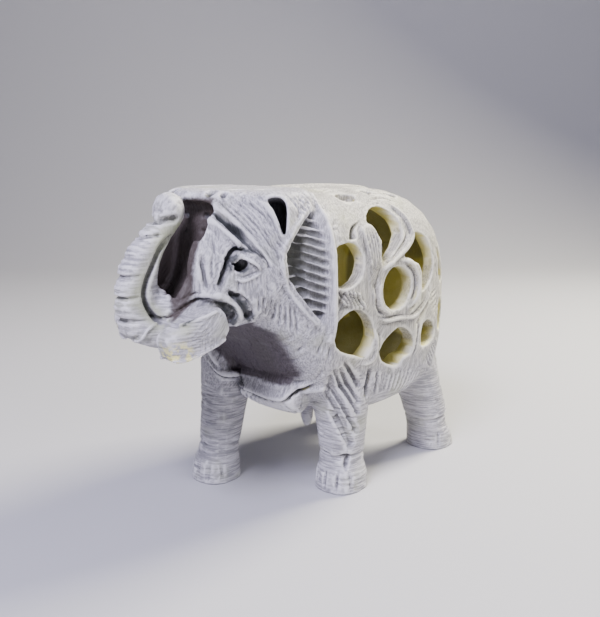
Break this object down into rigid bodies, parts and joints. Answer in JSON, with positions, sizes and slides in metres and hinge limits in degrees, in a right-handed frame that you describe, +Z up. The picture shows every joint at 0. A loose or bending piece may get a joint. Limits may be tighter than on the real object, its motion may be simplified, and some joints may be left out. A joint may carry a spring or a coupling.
{
  "type": "carved stone elephant figurine",
  "caption": "Carved soapstone elephant standing on its legs, trunk raised to its forehead, with a hollow body pierced by leaf-shaped and round windows.",
  "frame": {"origin": "on the ground, under the middle of the figure's length and width", "axes": "+Z up, the elephant faces -X, its left flank faces -Y"},
  "size_m": [0.0818, 0.0396, 0.0607],
  "materials": {
    "soapstone": "pale grey-white soapstone, rubbed smooth over fine file and chisel marks, yellow-green where light comes through the thin walls"
  },
  "bodies": {
    "root": {"elephant": "soapstone"}
  },
  "joints": []
}
